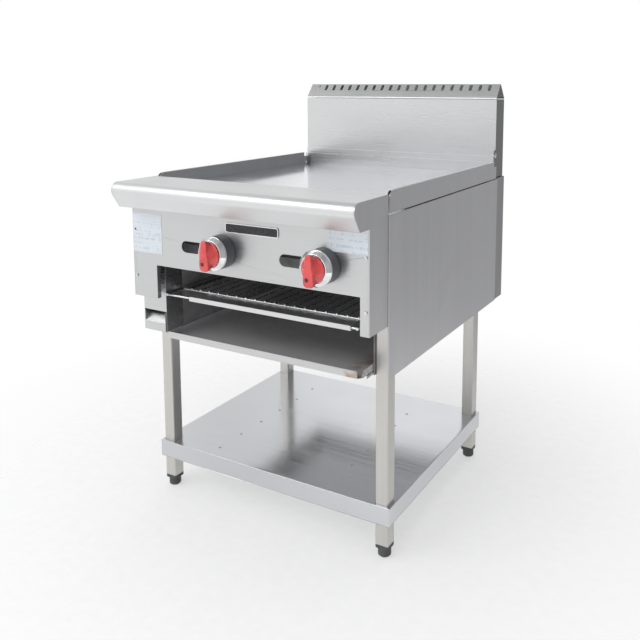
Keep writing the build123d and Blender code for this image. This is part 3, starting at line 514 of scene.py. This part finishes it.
def floor():
    """Pale round floor that fades out before its edge, so that no horizon shows."""
    mesh = bmesh.new()
    bmesh.ops.create_circle(mesh, cap_ends=True, segments=96, radius=FLOOR_RADIUS)
    finish = Finish("floor_paper", Roughness=0.9)
    fibres = finish.noise((35.0, 35.0, 35.0), detail=5.0)
    colour = finish.colours(fibres, [(0.3, (0.88, 0.88, 0.88)), (0.7, (0.92, 0.92, 0.92))])
    finish.wear(colour)
    length = finish.node("ShaderNodeVectorMath", {0: finish.place}, operation="LENGTH").outputs["Value"]
    fade = finish.fit(length, FLOOR_CLEAR, 1.0, *FLOOR_FADE)
    clear = finish.tree.nodes.new("ShaderNodeBsdfTransparent")
    both = finish.tree.nodes.new("ShaderNodeMixShader")
    output = finish.tree.nodes["Material Output"]
    finish.tree.links.new(fade, both.inputs[0])
    finish.tree.links.new(finish.shader.outputs[0], both.inputs[1])
    finish.tree.links.new(clear.outputs[0], both.inputs[2])
    finish.tree.links.new(both.outputs[0], output.inputs[0])
    sheet = add_mesh("floor", mesh, finish.material)
    sheet.location.z = -FLOOR_DROP


# Brightness of the surround, from one value to another over a stretch of the direction's coordinate.
SKY_SIDEWAYS = (1.03, 0.42, -0.30, 0.50)  # X: bright on the left, grey on the right
SKY_FLOOR_BOUNCE = (1.10, 0.0, -0.42, -0.27)  # Z: light thrown back up by the floor
SKY_BEHIND = (1.0, 0.95, 0.2, 0.9)  # Y
SKY_ZENITH = (1.0, 0.55, 0.45, 0.95)  # Z
SKY_BANDS = (0.82, 1.12, 0.35, 0.65)  # of the wall pattern
SKY_COOL, SKY_WHITE = (0.98, 0.99, 1.03, 1), (1, 1, 1, 1)


def studio_world():
    """Soft studio surround: bright on the left and above, greyer on the right, white to the eye."""
    world = bpy.data.worlds.new("studio")
    world.use_nodes = True
    bpy.context.scene.world = world
    world.node_tree.nodes.clear()
    sky = Nodes(world.node_tree)

    direction = sky.node("ShaderNodeTexCoord", {}).outputs["Generated"]
    parts = sky.node("ShaderNodeSeparateXYZ", {"Vector": direction}).outputs
    sideways = sky.fit(parts["X"], *SKY_SIDEWAYS)
    across = sky.math("MAXIMUM", sideways, sky.fit(parts["Z"], *SKY_FLOOR_BOUNCE))
    height = sky.times(sky.fit(parts["Y"], *SKY_BEHIND), sky.fit(parts["Z"], *SKY_ZENITH))
    stretched = sky.node("ShaderNodeMapping", {"Vector": direction, "Scale": (3.2, 3.2, 0.5)})
    walls = sky.node("ShaderNodeTexNoise", {"Vector": stretched.outputs[0], "Scale": 1.0, "Detail": 1.0})
    strength = sky.times(sky.times(across, height), sky.fit(walls.outputs["Fac"], *SKY_BANDS))
    tint = sky.node("ShaderNodeMix", {0: across, 6: SKY_COOL, 7: SKY_WHITE}, data_type="RGBA")
    seen = sky.node("ShaderNodeBackground", {"Color": SKY_WHITE, "Strength": 1.0})
    lit = sky.node("ShaderNodeBackground", {"Color": tint.outputs[2], "Strength": strength})
    eye = sky.node("ShaderNodeLightPath", {}).outputs["Is Camera Ray"]
    both = sky.node("ShaderNodeMixShader", {0: eye, 1: lit.outputs[0], 2: seen.outputs[0]})
    sky.node("ShaderNodeOutputWorld", {"Surface": both.outputs[0]})


def softbox(name, place, target, width, height, power, mirrored=True):
    """Rectangular light at a place, facing a target, and seen in polished metal or not."""
    light = bpy.data.lights.new(name, "AREA")
    light.shape = "RECTANGLE"
    light.size, light.size_y = width, height
    light.energy = power
    lamp = bpy.data.objects.new(name, light)
    lamp.location = place
    lamp.visible_glossy = mirrored
    lamp.rotation_euler = (Vector(target) - Vector(place)).to_track_quat("-Z", "Y").to_euler()
    bpy.context.scene.collection.objects.link(lamp)


CAMERA_PLACE = Vector((0.9436, -1.5605, 0.9714))
CAMERA_AZIMUTH = math.radians(29.47)
CAMERA_PITCH = math.radians(7.24)
CAMERA_LENS = 42.05
CAMERA_SHIFT = (-0.0507, -0.2188)


def camera():
    """Camera at the front right, at the height of the flue's top, looking slightly down."""
    a, e = CAMERA_AZIMUTH, CAMERA_PITCH
    back = Vector((math.sin(a) * math.cos(e), -math.cos(a) * math.cos(e), math.sin(e)))
    right = Vector((math.cos(a), math.sin(a), 0))
    up = back.cross(right)
    data = bpy.data.cameras.new("camera")
    data.lens = CAMERA_LENS
    data.sensor_width = 36.0
    data.shift_x, data.shift_y = CAMERA_SHIFT
    eye = bpy.data.objects.new("camera", data)
    rotation = Matrix((right, up, back)).transposed().to_4x4()
    eye.matrix_world = Matrix.Translation(CAMERA_PLACE) @ rotation
    bpy.context.scene.collection.objects.link(eye)
    bpy.context.scene.camera = eye


# ---- build --------------------------------------------------------------------------------------
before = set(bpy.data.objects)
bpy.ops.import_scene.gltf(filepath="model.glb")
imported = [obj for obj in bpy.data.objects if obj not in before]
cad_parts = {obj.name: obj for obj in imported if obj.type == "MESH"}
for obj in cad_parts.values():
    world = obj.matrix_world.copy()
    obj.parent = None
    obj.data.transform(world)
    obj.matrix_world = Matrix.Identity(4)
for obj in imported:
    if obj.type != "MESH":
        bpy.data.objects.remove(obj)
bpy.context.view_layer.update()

for node_name, node_material in finishes().items():
    dress(node_name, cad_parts[node_name], node_material)
grip_red = bpy.data.materials["knob_red"]
inlay_black = moulded("inlay_black", (0.03, 0.012, 0.012), 0.3)
for side_word in SIDES:
    knob_grip(side_word, grip_red)
    knob_mark(side_word, inlay_black)
shelf_weld_marks(weld_tint())

floor()
studio_world()
softbox("key", place=(-1.6, -2.6, 2.9), target=(0, -0.1, 0.5), width=2.4, height=1.6, power=34)
softbox("top", place=(0.2, 0.0, 3.2), target=(0, 0, 0), width=2.6, height=2.6, power=25, mirrored=False)
fill_target = (0, 0, 0.45)
softbox("fill", place=(0.5, -3.2, 0.7), target=fill_target, width=1.8, height=1.2, power=32, mirrored=False)
camera()
bpy.context.scene.view_settings.view_transform = "Standard"
